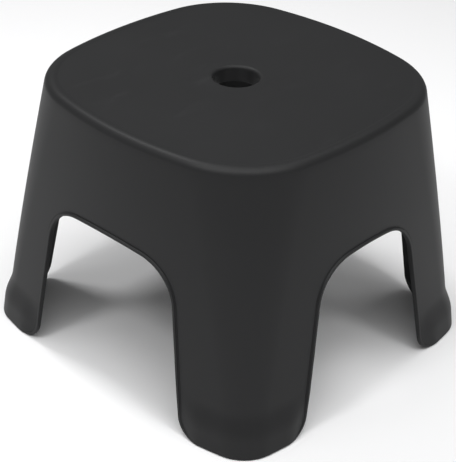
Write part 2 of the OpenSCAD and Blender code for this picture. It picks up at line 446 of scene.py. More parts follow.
def inside_with_margin(spots: np.ndarray, loop: np.ndarray, margin: float) -> np.ndarray:
    """Tell which spots lie inside a closed loop and at least a margin away from it.

    Args:
        spots: An array of N spots in the plane.
        loop: The loop's corners, in order.
        margin: The least distance from the loop.

    Returns:
        N truth values.
    """
    start, end = loop, np.roll(loop, -1, axis=0)
    edge = end - start
    offset = spots[:, None, :] - start[None]
    share = np.clip((offset * edge).sum(-1) / np.maximum((edge**2).sum(-1), 1e-12), 0, 1)
    apart = np.linalg.norm(offset - share[..., None] * edge, axis=-1).min(1)
    above = (start[None, :, 1] > spots[:, None, 1]) != (end[None, :, 1] > spots[:, None, 1])
    slope = np.where(edge[:, 1] == 0, 1e-12, edge[:, 1])
    cross = start[:, 0] + (spots[:, None, 1] - start[:, 1]) * edge[:, 0] / slope
    crossings = (above & (spots[:, None, 0] < cross)).sum(1)
    return (crossings % 2 == 1) & (apart > margin)


@dataclass
class StoolShell:
    """The one-piece moulded shell: seat, walls, arches, feet, hole and collar."""

    plan: StoolPlan
    foot: Foot
    arches: tuple[Arch, Arch]
    profile: EdgeProfile = field(default_factory=EdgeProfile)
    seat_t: float = 3.0
    seat_edge_r: float = 6.0
    ceiling_edge_r: float = 4.0
    rim_w: float = 1.5
    dish_w: float = 2.2
    dish_deep: float = 0.6
    hole_r: float = 18.5
    mouth_r: float = 3.0
    collar_t: float = 2.5
    collar_deep: float = 14.0
    collar_round: float = 1.1
    groove_turns: Point2 = (0.0, 0.0)
    hole_rim_w: float = 1.5
    side_length: float = 104.0
    corner_length: float = 62.0
    grid: float = 4.5
    fine_grid: float = 2.2
    level_stretch: float = 1.3
    edge_clear: float = 0.6
    collar_step: float = 2.5
    corner_columns: int = 26
    bend_steps: int = 8
    small_bend_steps: int = 4
    plate_insets: tuple[float, ...] = (0, 1.5, 3, 4, 4.5, 5, 5.5, 6, 6.5, 7.5, 9, 11, 14)
    plate_steps: int = 24
    first_plate_step: int = 4
    name: str = "shell_moulding"

    def build(self) -> bpy.types.Object:
        """Build the shell's mesh and return it as a piece."""
        sheet = QuarterSheet()
        edge = self._edge_spots()
        rows = self._edge_rows(sheet, edge)
        wall_top = self.plan.height - self.seat_edge_r
        ceiling = self.plan.height - self.seat_t
        outer_top = self._wall(sheet, edge, rows[0], wall_top, self.foot.outside, facing_out=True)
        inner_top = self._wall(
            sheet, edge, rows[-1], ceiling - self.ceiling_edge_r, self.foot.inside, facing_out=False
        )
        last = outer_top
        for ring in self._seat_rings():
            numbers = sheet.row(ring)
            sheet.strip(last, numbers)
            last = numbers
        sheet.strip(last, inner_top)
        return piece_from(sheet.mirrored_mesh(self.name))

    # The lower edge, all the way from one wall's middle to the next

    def _edge_spots(self) -> list[EdgeSpot]:
        """List the spots along the lower edge, from the middle of the +X wall to that of +Y."""
        arch_x, arch_y = self.arches
        first = arch_x.spots()[::-1]
        last = arch_y.spots()
        turn_from = self.plan.turn_at(Wall.FACING_X, first[-1].along, first[-1].z)
        turn_to = self.plan.turn_at(Wall.FACING_Y, last[0].along, last[0].z)
        bottom = [self._bottom_spot(turn) for turn in self._bottom_turns(turn_from, turn_to)]
        return first + bottom + last

    def _bottom_spot(self, turn: float) -> EdgeSpot:
        """Make a spot on the underside of a foot."""
        low, high = self.groove_turns
        return EdgeSpot(z=self.foot.bottom, into_z=1.0, turn=turn, lip=0.0, groove=float(low < turn < high))

    def _bottom_turns(self, turn_from: float, turn_to: float) -> list[float]:
        """List the directions faced along the underside of a foot, ends left out."""
        near, far = self.plan.bow_x, QUARTER_TURN - self.plan.bow_y
        low, high = self.groove_turns
        tiny, few, some = 2e-4, 2, 5
        stretches = (
            (turn_from, low - tiny, few),
            (low - tiny, low + tiny, 1),
            (low + tiny, near, some),
            (near, far, self.corner_columns),
            (far, high - tiny, some),
            (high - tiny, high + tiny, 1),
            (high + tiny, turn_to, few),
        )
        turns = [mix(a, b, i / count) for a, b, count in stretches for i in range(count)]
        return turns[1:]

    def _edge_rows(self, sheet: QuarterSheet, edge: Sequence[EdgeSpot]) -> list[list[int]]:
        """Sweep the edge's cross-section along the spots; return the rows, outer face first."""
        rows: list[list[int]] = []
        for shape in self.profile.row_shapes():
            rows.append(sheet.row(self._edge_point(spot, shape) for spot in edge))
            if len(rows) > 1:
                sheet.strip(rows[-1], rows[-2])
        return rows

    def _edge_point(self, spot: EdgeSpot, shape: RowShape) -> Point3:
        """Return where a row of the cross-section passes a spot."""
        reach = shape(spot, 0.0, 0.0)[0]
        z = spot.z + reach * spot.into_z
        turn = self._turn(spot, reach)
        across = shape(spot, self.foot.outside(turn, z), self.foot.inside(turn, z))[1]
        return (*self.plan.point(turn, z, across), z)

    def _turn(self, spot: EdgeSpot, reach: float) -> float:
        """Return the direction faced at a distance into the material from a spot."""
        if spot.wall is None:
            return spot.turn
        along = max(0.0, spot.along + reach * spot.into_along)
        return self.plan.turn_at(spot.wall, along, spot.z + reach * spot.into_z)

    # The broad faces of the walls

    def _unrolled(self, turn: float) -> float:
        """Return a direction's place on the unrolled wall, in millimetres."""
        near, far = self.plan.bow_x, QUARTER_TURN - self.plan.bow_y
        side, corner = self.side_length, self.corner_length
        if turn < near:
            return side * turn / near
        if turn < far:
            return side + corner * (turn - near) / (far - near)
        return side + corner + side * (turn - far) / self.plan.bow_y

    def columns(self) -> list[float]:
        """List the directions of the wall's columns, both middles included."""
        near, far = self.plan.bow_x, QUARTER_TURN - self.plan.bow_y
        side_count = round(self.side_length / self.grid)
        side_x = [mix(0, near, i / side_count) for i in range(side_count)]
        corner = [mix(near, far, i / self.corner_columns) for i in range(self.corner_columns)]
        side_y = [mix(far, QUARTER_TURN, i / side_count) for i in range(side_count + 1)]
        return side_x + corner + side_y

    def _levels(self, top: float) -> list[float]:
        """List the heights of the wall's rows below its top, closer together over the step."""
        step_top = self.foot.top + self.fine_grid
        low = spaced(self.foot.bottom + self.profile.reach, step_top, self.fine_grid)
        return low + spaced(step_top, top, self.grid * self.level_stretch)[1:-1]

    def _wall(
        self,
        sheet: QuarterSheet,
        edge: Sequence[EdgeSpot],
        edge_row: Sequence[int],
        top: float,
        skin: Skin,
        facing_out: bool,
    ) -> list[int]:
        """Fill a wall's broad face from its lower edge up to a height.

        Args:
            sheet: The sheet that the face is added to.
            edge: The spots along the lower edge.
            edge_row: The vertices that the edge's cross-section ends in.
            top: The height of the face's top row.
            skin: Where the face lies, from the plan outline, at each direction and height.
            facing_out: Whether it is the outer face.

        Returns:
            The vertices of the top row.
        """
        turns, levels = self.columns(), self._levels(top)
        reach = self.profile.reach
        outline = [(self._unrolled(self._turn(s, reach)), s.z + reach * s.into_z) for s in edge]
        numbers = list(edge_row)
        end = self._unrolled(QUARTER_TURN)
        right = [z for z in levels if z > outline[-1][1] + self.grid / 2]
        left = [z for z in levels if z > outline[0][1] + self.grid / 2][::-1]
        top_row = sheet.row(self._on_skin(skin, t, top) for t in turns)
        outline += [(end, z) for z in right]
        numbers += sheet.row(self._on_skin(skin, QUARTER_TURN, z) for z in right)
        outline += [(self._unrolled(t), top) for t in reversed(turns)]
        numbers += top_row[::-1]
        outline += [(0.0, z) for z in left]
        numbers += sheet.row(self._on_skin(skin, 0.0, z) for z in left)
        lattice = [(t, z) for t in turns[1:-1] for z in levels]
        flat = np.array([(self._unrolled(t), z) for t, z in lattice])
        inside = inside_with_margin(flat, np.array(outline), self.fine_grid * self.edge_clear)
        lattice = [spot for spot, keep in zip(lattice, inside) if keep]
        numbers += sheet.row(self._on_skin(skin, t, z) for t, z in lattice)
        spots = outline + [(self._unrolled(t), z) for t, z in lattice]
        for triangle in self._triangles(spots, len(outline)):
            face = tuple(numbers[n] for n in triangle)
            sheet.faces.append(face if facing_out else face[::-1])
        return top_row

    def _on_skin(self, skin: Skin, turn: float, z: float) -> Point3:
        """Return the point of a broad face at a direction and height."""
        return (*self.plan.point(turn, z, skin(turn, z)), z)

    def _triangles(self, spots: Sequence[Point2], outline_count: int) -> list[tuple[int, ...]]:
        """Triangulate spots in the plane, the first ones being a closed outline."""
        edges = [(i, (i + 1) % outline_count) for i in range(outline_count)]
        flat = [Vector(spot) for spot in spots]
        points, _, faces, sources, _, _ = delaunay_2d_cdt(flat, edges, [], 0, 1e-5)
        centres = np.array([[sum(points[n][k] for n in face) / len(face) for k in (0, 1)] for face in faces])
        kept = inside_with_margin(centres, np.array(spots[:outline_count]), 0.0)
        triangles = []
        for face, keep in zip(faces, kept):
            if keep:
                ring = [sources[n][0] for n in face]
                triangles.append(tuple(ring) if self._turns_left(spots, ring) else tuple(ring[::-1]))
        return triangles

    def _turns_left(self, spots: Sequence[Point2], ring: Sequence[int]) -> bool:
        """Tell whether a triangle's corners run anticlockwise."""
        (ax, ay), (bx, by), (cx, cy) = (spots[n] for n in ring[:3])
        return (bx - ax) * (cy - ay) > (by - ay) * (cx - ax)

    # The seat, its hole and the collar below

    def _seat_rings(self) -> list[list[Point3]]:
        """List the rings from above the outer wall over the seat, down the hole and back out."""
        top = self.plan.height
        ceiling = top - self.seat_t
        rings = []
        for angle in self._bends(self.bend_steps, 0)[-2::-1]:
            across, down = self._bend(self.seat_edge_r, angle)
            rings.append(self._ring(top - down, -across))
        rings += self._plate(self._seat_height, -self.seat_edge_r, self.hole_r + self.mouth_r, inwards=True)
        for angle in self._bends(self.bend_steps):
            across, down = self._bend(self.mouth_r, angle)
            rings.append(self._circle(self.hole_r + across, top - down))
        rings += self._collar(top, ceiling)
        edge = -self.foot.wall_t - self.ceiling_edge_r
        rings += self._plate(lambda _: ceiling, edge, self.hole_r + self.collar_t, inwards=False)[1:]
        for angle in self._bends(self.small_bend_steps):
            across, down = self._bend(self.ceiling_edge_r, angle)
            rings.append(self._ring(ceiling - down, -self.foot.wall_t - across))
        return rings[:-1]

    def _collar(self, top: float, ceiling: float) -> list[list[Point3]]:
        """List the rings down the hole, round the collar's lower edge and up to the ceiling."""
        low, outer_r, soft = top - self.collar_deep, self.hole_r + self.collar_t, self.collar_round
        step = self.collar_step
        rings = [self._circle(self.hole_r, z) for z in spaced(top - self.mouth_r, low + soft, step)[1:]]
        for angle in self._bends(self.small_bend_steps):
            up, across = self._bend(soft, angle)
            rings.append(self._circle(self.hole_r + across, low + up))
        for angle in self._bends(self.small_bend_steps, 0):
            across, up = self._bend(soft, angle)
            rings.append(self._circle(outer_r - across, low + up))
        return rings + [self._circle(outer_r, z) for z in spaced(low + soft, ceiling, step)[1:]]

    @staticmethod
    def _bend(radius: float, angle: float) -> Point2:
        """Return how far a quarter bend still has to go across, and has gone down, at an angle."""
        return radius * (1 - math.sin(angle)), radius * (1 - math.cos(angle))

    @staticmethod
    def _bends(steps: int, first: int = 1) -> list[float]:
        """List the angles of a quarter bend."""
        return [QUARTER_TURN * i / steps for i in range(first, steps + 1)]

    def _seat_height(self, inset: float) -> float:
        """Return the seat's height at a distance in from its rounded edge."""
        return self.plan.height - self.dish_deep * smooth((inset - self.rim_w) / self.dish_w)

    def _plate(self, level: Heights, edge: float, hole_r: float, inwards: bool) -> list[list[Point3]]:
        """List the rings of a flat plate between the stool's outline and a round hole.

        Args:
            level: The plate's height at each distance in from its outline.
            edge: The growth of the plate's outline.
            hole_r: The radius of the hole.
            inwards: Whether the rings run from the outline to the hole.

        Returns:
            The rings, each a list of points.
        """
        outline = [Vector(self.plan.point(t, level(0.0), edge)) for t in self.columns()]
        reaches = [p.length - hole_r for p in outline]
        rings = []
        steps, first = self.plate_steps, self.first_plate_step
        typical, even = min(reaches), self.plate_insets[-1]
        shares = [inset / typical for inset in self.plate_insets]
        for share in shares + [s / steps for s in range(first, steps + 1)]:
            ring = []
            for point, reach in zip(outline, reaches):
                inset = share * typical
                if share >= first / steps:
                    inset = mix(even, reach, (share - even / typical) / (1 - even / typical))
                spot = point * ((point.length - inset) / point.length)
                ring.append((spot.x, spot.y, self._lipped(level, inset, reach)))
            rings.append(ring)
        return rings if inwards else rings[::-1]

    def _lipped(self, level: Heights, inset: float, reach: float) -> float:
        """Return the plate's height, raised back to its rim's level round the hole."""
        near_hole = smooth(1 - (reach - inset - self.hole_rim_w) / self.dish_w)
        return mix(level(inset), level(0.0), near_hole)

    def _ring(self, z: float, grow: float) -> list[Point3]:
        """Return the plan outline's ring at a height."""
        return [(*self.plan.point(t, z, grow), z) for t in self.columns()]

    def _circle(self, radius: float, z: float) -> list[Point3]:
        """Return a ring round the hole, with a point on the way to each column of the wall."""
        ring = []
        for turn in self.columns():
            x, y = self.plan.point(turn, self.plan.height, -self.seat_edge_r)
            away = math.hypot(x, y)
            ring.append((radius * x / away, radius * y / away, z))
        return ring


# ---------------------------------------------------------------------------------------------
# Node graphs
# ---------------------------------------------------------------------------------------------


class Graph:
    """A node tree under construction, for a material or for Geometry Nodes."""

    def __init__(self, tree: bpy.types.NodeTree) -> None:
        """Wrap an empty node tree."""
        self.tree = tree

    def add(self, kind: str, settings: dict[str, Any] | None = None, **inputs: Any) -> bpy.types.Node:
        """Add a node.

        Args:
            kind: The node's type.
            settings: Properties, set before the sockets are read.
            inputs: Socket names, spaces as underscores, or i0, i1 and so on for places.

        Returns:
            The node.
        """
        node = self.tree.nodes.new(kind)
        for name, value in (settings or {}).items():
            setattr(node, name, value)
        for name, value in inputs.items():
            key = int(name[1:]) if name[0] == "i" and name[1:].isdigit() else name.replace("_", " ")
            self.feed(node.inputs[key], value)
        return node

    def feed(self, socket: bpy.types.NodeSocket, value: Any) -> None:
        """Link or set a socket."""
        if isinstance(value, Wire):
            self.tree.links.new(value.socket, socket)
        elif isinstance(value, bpy.types.NodeSocket):
            self.tree.links.new(value, socket)
        else:
            socket.default_value = value

    def wire(
        self, kind: str, output: str | int, settings: dict[str, Any] | None = None, **inputs: Any
    ) -> "Wire":
        """Add a node and return one of its outputs, ready for expressions."""
        return Wire(self, self.add(kind, settings, **inputs).outputs[output])

    def noise(self, place: "Wire", scale: float, detail: float, rough: float = 0.5) -> "Wire":
        """Add a noise texture and return its value."""
        inputs = {"Vector": place, "Scale": scale, "Detail": detail, "Roughness": rough}
        return self.wire("ShaderNodeTexNoise", "Fac", **inputs)

    def shade(self, mask: "Wire", low: Point3, high: Point3) -> bpy.types.NodeSocket:
        """Mix two colours by a mask and return the colour."""
        colours = {"i6": (*low, 1), "i7": (*high, 1)}
        return self.add("ShaderNodeMix", {"data_type": "RGBA"}, i0=mask, **colours).outputs[2]


class Wire:
    """A number's socket that Python's operators work on, each adding a Math node."""

    def __init__(self, graph: Graph, socket: bpy.types.NodeSocket) -> None:
        """Hold a socket and the graph that it is in."""
        self.graph = graph
        self.socket = socket

    def _math(self, operation: str, *values: Any) -> "Wire":
        """Add a Math node on the given values."""
        places = {f"i{i}": value for i, value in enumerate(values)}
        return self.graph.wire("ShaderNodeMath", 0, {"operation": operation}, **places)

    def __add__(self, other: Any) -> "Wire":
        """Add."""
        return self._math("ADD", self, other)

    __radd__ = __add__

    def __mul__(self, other: Any) -> "Wire":
        """Multiply."""
        return self._math("MULTIPLY", self, other)

    __rmul__ = __mul__

    def __sub__(self, other: Any) -> "Wire":
        """Subtract."""
        return self._math("SUBTRACT", self, other)

    def __rsub__(self, other: Any) -> "Wire":
        """Subtract from a number."""
        return self._math("SUBTRACT", other, self)

    def ramp(self, low: float, high: float) -> "Wire":
        """Ease from 0 at low to 1 at high."""
        settings = {"interpolation_type": "SMOOTHSTEP"}
        inputs = {"From_Min": low, "From_Max": high}
        return self.graph.wire("ShaderNodeMapRange", 0, settings, Value=self, **inputs)


class GeometryTool:
    """A Geometry Nodes tree with named inputs, applied once and turned into a plain mesh."""

    def __init__(self, name: str) -> None:
        """Start a tree that takes a geometry and gives one back."""
        self.tree = bpy.data.node_groups.new(name, "GeometryNodeTree")
        self.graph = Graph(self.tree)
        self.tree.interface.new_socket("Geometry", in_out="INPUT", socket_type="NodeSocketGeometry")
        self.tree.interface.new_socket("Geometry", in_out="OUTPUT", socket_type="NodeSocketGeometry")
        self.source = self.graph.add("NodeGroupInput")

    def number(self, name: str) -> Wire:
        """Declare a number that the tree takes, and return it."""
        self.tree.interface.new_socket(name, in_out="INPUT", socket_type="NodeSocketFloat")
        return Wire(self.graph, self.source.outputs[name])

    def sweep(
        self, path: bpy.types.Node, width: Wire, height: Wire, soft: Wire, bends: int
    ) -> bpy.types.NodeSocket:
        """Sweep a rectangle with rounded corners along a curve.

        Args:
            path: The node that gives the curve.
            width: The rectangle's width.
            height: The rectangle's height.
            soft: The radius of its corners.
            bends: How many points a corner has.

        Returns:
            The swept mesh.
        """
        section = self.graph.add("GeometryNodeCurvePrimitiveQuadrilateral", Width=width, Height=height)
        corners = {"Curve": section.outputs[0], "Radius": soft, "Count": bends}
        rounded = self.graph.add("GeometryNodeFilletCurve", {"mode": "POLY"}, **corners)
        curves = {"Curve": path.outputs[0], "Profile_Curve": rounded.outputs[0]}
        return self.graph.add("GeometryNodeCurveToMesh", Fill_Caps=True, **curves).outputs[0]

    def finish(self, geometry: bpy.types.NodeSocket, material: bpy.types.Material) -> None:
        """End the tree: real instances, the material, and the group's output."""
        real = self.graph.add("GeometryNodeRealizeInstances", Geometry=geometry)
        flat = self.graph.add(
            "GeometryNodeSetShadeSmooth", {"domain": "FACE"}, Geometry=real.outputs[0], Shade_Smooth=False
        )
        dressed = self.graph.add("GeometryNodeSetMaterial", Geometry=flat.outputs[0], Material=material)
        self.graph.add("NodeGroupOutput", Geometry=dressed.outputs[0])

    def apply(self, guide: bpy.types.Mesh, name: str, **numbers: float) -> bpy.types.Object:
        """Run the tree on a guide mesh and return the result as a plain piece.

        Args:
            guide: The mesh that the tree starts from.
            name: The piece's name.
            numbers: The tree's inputs by name, spaces as underscores.

        Returns:
            The piece, without modifiers.
        """
        carrier = piece_from(guide)
        modifier = carrier.modifiers.new(name, "NODES")
        modifier.node_group = self.tree
        sockets = {
            item.name: item.identifier
            for item in self.tree.interface.items_tree
            if item.item_type == "SOCKET" and item.in_out == "INPUT"
        }
        for key, value in numbers.items():
            modifier[sockets[key.replace("_", " ")]] = value
        graph = bpy.context.evaluated_depsgraph_get()
        mesh = bpy.data.meshes.new_from_object(carrier.evaluated_get(graph))
        mesh.name = name
        bpy.data.objects.remove(carrier)
        bpy.data.meshes.remove(guide)
        return piece_from(mesh)


def guide_lines(name: str, lines: Sequence[Sequence[Point3]]) -> bpy.types.Mesh:
    """Make a mesh of bare lines, in metres, for a tree to follow."""
    points: list[Point3] = []
    edges: list[tuple[int, int]] = []
    for line in lines:
        first = len(points)
        points += [tuple(v * MM for v in p) for p in line]
        edges += [(first + i, first + i + 1) for i in range(len(line) - 1)]
    mesh = bpy.data.meshes.new(name)
    mesh.from_pydata(points, edges, [])
    return mesh


# ---------------------------------------------------------------------------------------------
# Finishes
# ---------------------------------------------------------------------------------------------


def principled(name: str) -> tuple[bpy.types.Material, Graph, bpy.types.Node]:
    """Start a material and return it with its graph and its shader."""
    material = bpy.data.materials.new(name)
    material.use_nodes = True
    material.node_tree.nodes.clear()
    graph = Graph(material.node_tree)
    shader = graph.add("ShaderNodeBsdfPrincipled")
    graph.add("ShaderNodeOutputMaterial", Surface=shader.outputs[0])
    return material, graph, shader


@dataclass(frozen=True)
class MouldedPlastic:
    """Charcoal polypropylene with the fine satin grain of its mould and light scuffs."""

    colour: Point3 = (0.0138, 0.0140, 0.0145)
    scuffed: Point3 = (0.032, 0.0325, 0.034)
    roughness: float = 0.5
    roughness_spread: float = 0.07
    grain_per_m: float = 1500.0
    grain_deep: float = 0.00004
    grain_strength: float = 0.22
    cloud_per_m: float = 14.0
    scuff_per_m: float = 70.0
    specular: float = 0.2
    pit_share: float = 0.6
    base_scuffed: float = 0.06
    cloud_scuffed: float = 0.16
    rubbed_scuffed: float = 0.55
    rubbed_rough: float = 0.12
    grain_rough: float = 0.06
    rubbed_seat: float = 0.35
    rubbed_feet: float = 0.5
    seat_z: float = 0.23

    def make(self) -> bpy.types.Material:
        """Build the material."""
        material, graph, shader = principled("charcoal_polypropylene")
        place = graph.wire("ShaderNodeTexCoord", "Object")
        cloud = graph.noise(place, self.cloud_per_m, 3.0)
        grain = graph.noise(place, self.grain_per_m, 2.0, 0.6)
        smoothed, pit_scale = {"feature": "SMOOTH_F1"}, self.grain_per_m * 0.5
        pits = graph.wire("ShaderNodeTexVoronoi", "Distance", smoothed, Vector=place, Scale=pit_scale)
        scuffs = self._scuffs(graph, place)
        worn = scuffs * self.rubbed_scuffed + (cloud - 0.5) * self.cloud_scuffed + self.base_scuffed
        graph.feed(shader.inputs["Base Color"], graph.shade(worn, self.colour, self.scuffed))
        rough = self.roughness + (cloud - 0.5) * self.roughness_spread
        rough = rough + scuffs * self.rubbed_rough + (grain - 0.5) * self.grain_rough
        graph.feed(shader.inputs["Roughness"], rough)
        relief = grain + pits * self.pit_share
        sizes = {"Strength": self.grain_strength, "Distance": self.grain_deep}
        bump = graph.add("ShaderNodeBump", Height=relief, **sizes)
        graph.feed(shader.inputs["Normal"], bump.outputs[0])
        shader.inputs["Specular IOR Level"].default_value = self.specular
        return material

    def _scuffs(self, graph: Graph, place: Wire) -> Wire:
        """Mask the faint rubbing on the seat and at the feet, where the stool is stood on."""
        height = graph.wire("ShaderNodeSeparateXYZ", "Z", Vector=place)
        seat = height.ramp(self.seat_z - 0.004, self.seat_z)
        feet = 1 - height.ramp(0.0, 0.022)
        stretch, slant = (1.0, 0.22, 1.0), (0, 0, 0.6)
        stretched = graph.wire("ShaderNodeMapping", 0, Vector=place, Scale=stretch, Rotation=slant)
        streaks = graph.noise(stretched, self.scuff_per_m, 5.0, 0.65)
        return streaks.ramp(0.56, 0.74) * (seat * self.rubbed_seat + feet * self.rubbed_feet)


@dataclass(frozen=True)
class PadRubber:
    """Matt black thermoplastic rubber with a little floor dust on its tread."""

    colour: Point3 = (0.014, 0.014, 0.015)
    dust: Point3 = (0.09, 0.085, 0.078)
    roughness: float = 0.78
    grain_per_m: float = 2600.0
    speckle_per_m: float = 420.0

    def make(self) -> bpy.types.Material:
        """Build the material."""
        material, graph, shader = principled("pad_rubber")
        place = graph.wire("ShaderNodeTexCoord", "Object")
        height = graph.wire("ShaderNodeSeparateXYZ", "Z", Vector=place)
        speckle = graph.noise(place, self.speckle_per_m, 4.0, 0.7)
        grain = graph.noise(place, self.grain_per_m, 2.0)
        dusty = speckle.ramp(0.5, 0.72) * (1 - height.ramp(0.0, 0.0012)) * 0.5
        graph.feed(shader.inputs["Base Color"], graph.shade(dusty, self.colour, self.dust))
        graph.feed(shader.inputs["Roughness"], self.roughness + dusty * 0.2 + (grain - 0.5) * 0.1)
        bump = graph.add("ShaderNodeBump", Strength=0.35, Distance=0.00005, Height=grain)
        graph.feed(shader.inputs["Normal"], bump.outputs[0])
        shader.inputs["Specular IOR Level"].default_value = 0.35
        return material


@dataclass(frozen=True)
class StudioPaper:
    """The plain pale floor."""

    colour: Point3 = (0.92, 0.92, 0.925)
    fibre_per_m: float = 300.0

    def make(self) -> bpy.types.Material:
        """Build the material."""
        material, graph, shader = principled("studio_paper")
        place = graph.wire("ShaderNodeTexCoord", "Object")
        fibre = graph.noise(place, self.fibre_per_m, 3.0)
        shader.inputs["Base Color"].default_value = (*self.colour, 1)
        graph.feed(shader.inputs["Roughness"], 0.8 + (fibre - 0.5) * 0.1)
        return material


# ---------------------------------------------------------------------------------------------
# Pieces that repeat or follow a path
# ---------------------------------------------------------------------------------------------


@dataclass
class SeatRibs:
    """The ribs moulded under the seat: spokes from the collar to the walls, and two rings."""

    shell: StoolShell
    deep: float = 9.0
    thick: float = 2.0
    sunk: float = 0.4
    ring_insets: Point2 = (72.0, 36.0)
    round_share: float = 0.3
    share_in_wall: float = 0.7
    name: str = "seat_ribs"

    def tool(self, material: bpy.types.Material) -> GeometryTool:
        """Build the tree that gives each guide line a rib's upright section."""
        tool = GeometryTool("upright_ribs")
        graph = tool.graph
        deep, thick = tool.number("Rib Depth"), tool.number("Rib Thickness")
        path = graph.add("GeometryNodeMeshToCurve", Mesh=tool.source.outputs["Geometry"])
        level = graph.add("GeometryNodeSetCurveNormal", {"mode": "Z_UP"}, Curve=path.outputs[0])
        tool.finish(tool.sweep(level, thick, deep, thick * self.round_share, 3), material)
        return tool

    def build(self, material: bpy.types.Material) -> bpy.types.Object:
        """Lay out the guide lines and run the tree on them."""
        shell = self.shell
        ceiling = shell.plan.height - shell.seat_t
        middle = ceiling + self.sunk - self.deep / 2
        return self.tool(material).apply(
            guide_lines("rib_lines", self._spokes(middle) + self._rings(middle)),
            self.name,
            Rib_Depth=self.deep * MM,
            Rib_Thickness=self.thick * MM,
        )

    def _spokes(self, z: float) -> list[list[Point3]]:
        """List the spokes' lines, from inside the collar's wall to inside the stool's wall."""
        start = self.shell.hole_r + self.shell.collar_t / 2
        lines = []
        for corner in Corner:
            sign_x, sign_y = corner.value
            for turn in (0.0, QUARTER_TURN / 2, QUARTER_TURN):
                x, y = self.shell.plan.point(turn, z, -self.shell.foot.wall_t * self.share_in_wall)
                away = math.hypot(x, y)
                inner, outer = (x * start / away, y * start / away), (x, y)
                line = [(px * sign_x, py * sign_y, z) for px, py in (inner, outer)]
                if not self._repeated(line, lines):
                    lines.append(line)
        return lines

    @staticmethod
    def _repeated(line: Sequence[Point3], lines: Sequence[Sequence[Point3]]) -> bool:
        """Tell whether a line with the same end is already there."""
        return any(math.dist(line[1], other[1]) < 1e-6 for other in lines)

    def _rings(self, z: float) -> list[list[Point3]]:
        """List the rings' lines, each closed by repeating its first point."""
        plan = self.shell.plan
        turns = self.shell.columns()[::2]
        rings = []
        for inset in self.ring_insets:
            quarter = [plan.point(turn, plan.height, -inset) for turn in turns]
            ring = [(x, y, z) for x, y in quarter]
            ring += [(-x, y, z) for x, y in quarter[-2::-1]]
            ring += [(-x, -y, z) for x, y in quarter[1:]]
            ring += [(x, -y, z) for x, y in quarter[-2::-1]]
            rings.append(ring)
        return rings


@dataclass
class FootPad:
    """A non-slip pad in the groove under a foot, with cross bars for tread."""

    corner: Corner
    plan: StoolPlan
    turns: Point2
    grow: float
    width: float = 5.0
    top: float = 3.2
    base: float = 0.55
    bar_pitch: float = 2.4
    bar_w: float = 1.2
    bar_span: float = 0.92
    bar_rise: float = 1.2
    round_share: float = 0.06

    @property
    def node(self) -> str:
        """The CAD node that the pad stands for."""
        return f"foot_pad_{self.corner.name.lower()}"

    def tool(self, material: bpy.types.Material) -> GeometryTool:
        """Build the tree that sweeps the pad along its line and sets the bars across it."""
        tool = GeometryTool("treaded_pad")
        graph = tool.graph
        width, top = tool.number("Pad Width"), tool.number("Pad Top")
        base, pitch = tool.number("Tread Depth"), tool.number("Bar Pitch")
        bar = tool.number("Bar Width")
        path = graph.add("GeometryNodeMeshToCurve", Mesh=tool.source.outputs["Geometry"])
        lift = graph.wire("ShaderNodeCombineXYZ", 0, Z=(top + base) * 0.5)
        raised = graph.add("GeometryNodeSetPosition", Geometry=path.outputs[0], Offset=lift)
        body = tool.sweep(raised, width, top - base, width * self.round_share, 2)
        by_length = {"mode": "LENGTH"}
        spots = graph.add("GeometryNodeCurveToPoints", by_length, Curve=path.outputs[0], Length=pitch)
        size = graph.wire("ShaderNodeCombineXYZ", 0, X=width * self.bar_span, Y=bar, Z=base * self.bar_rise)
        block = graph.add("GeometryNodeMeshCube", Size=size)
        half_up = graph.wire("ShaderNodeCombineXYZ", 0, Z=base * (self.bar_rise / 2))
        placed = graph.add("GeometryNodeTransform", Geometry=block.outputs[0], Translation=half_up)
        tangent = spots.outputs["Tangent"]
        across = graph.add("FunctionNodeAlignRotationToVector", {"axis": "Y"}, Vector=tangent)
        bars = graph.add(
            "GeometryNodeInstanceOnPoints",
            Points=spots.outputs[0],
            Instance=placed.outputs[0],
            Rotation=across.outputs[0],
        )
        joined = graph.add("GeometryNodeJoinGeometry")
        graph.feed(joined.inputs[0], body)
        graph.feed(joined.inputs[0], bars.outputs[0])
        tool.finish(joined.outputs[0], material)
        return tool

    def build(self, tool: GeometryTool) -> bpy.types.Object:
        """Lay out the pad's line round its corner and run the tree on it."""
        sign_x, sign_y = self.corner.value
        line = [self.plan.point(turn, 0.0, self.grow) for turn in self._line_turns()]
        points = [(x * sign_x, y * sign_y, 0.0) for x, y in line]
        return tool.apply(
            guide_lines("pad_line", [points]),
            f"{self.node}_tread",
            Pad_Width=self.width * MM,
            Pad_Top=self.top * MM,
            Tread_Depth=self.base * MM,
            Bar_Pitch=self.bar_pitch * MM,
            Bar_Width=self.bar_w * MM,
        )

    def _line_turns(self) -> list[float]:
        """List the directions faced along the pad."""
        near, far = self.plan.bow_x, QUARTER_TURN - self.plan.bow_y
        low, high = self.turns
        stretches = ((low, near, 8), (near, far, 20), (far, high, 8))
        return [mix(a, b, i / count) for a, b, count in stretches for i in range(count)] + [high]


# ---------------------------------------------------------------------------------------------
# The stool, the studio and the camera
# ---------------------------------------------------------------------------------------------


